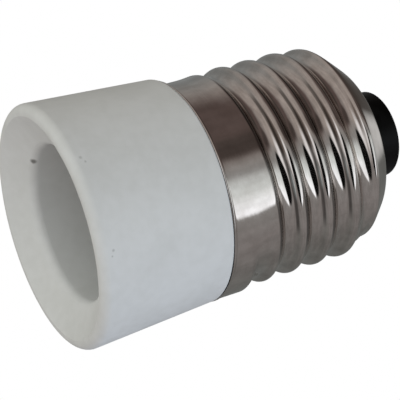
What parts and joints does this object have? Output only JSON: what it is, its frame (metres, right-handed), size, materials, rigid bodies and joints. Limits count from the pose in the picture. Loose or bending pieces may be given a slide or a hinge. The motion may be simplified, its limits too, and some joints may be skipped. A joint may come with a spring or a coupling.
{
  "type": "lamp socket adapter",
  "caption": "Lamp socket adapter: a white collar with a dished mouth holds a small screw socket, and a nickel screw cap with a black-insulated tip fits a larger lamp holder.",
  "frame": {"origin": "centre of the mouth rim, on the plane that the adapter stands on", "axes": "+Z along the axis from the mouth to the tip contact; +X towards the side contact strap"},
  "size_m": [0.029, 0.029, 0.046],
  "materials": {
    "white_plastic": "satin moulded",
    "nickel_plate": "bright nickel plate",
    "black_insulator": "moulded black",
    "contact_brass": "pressed brass"
  },
  "bodies": {
    "root": {"body": "white_plastic", "e27_screw_shell": "nickel_plate", "tip_insulator": "black_insulator", "tip_contact": "contact_brass", "e14_screw_sleeve": "nickel_plate", "centre_contact_leaf": "contact_brass", "side_contact_strap": "contact_brass"}
  },
  "joints": []
}
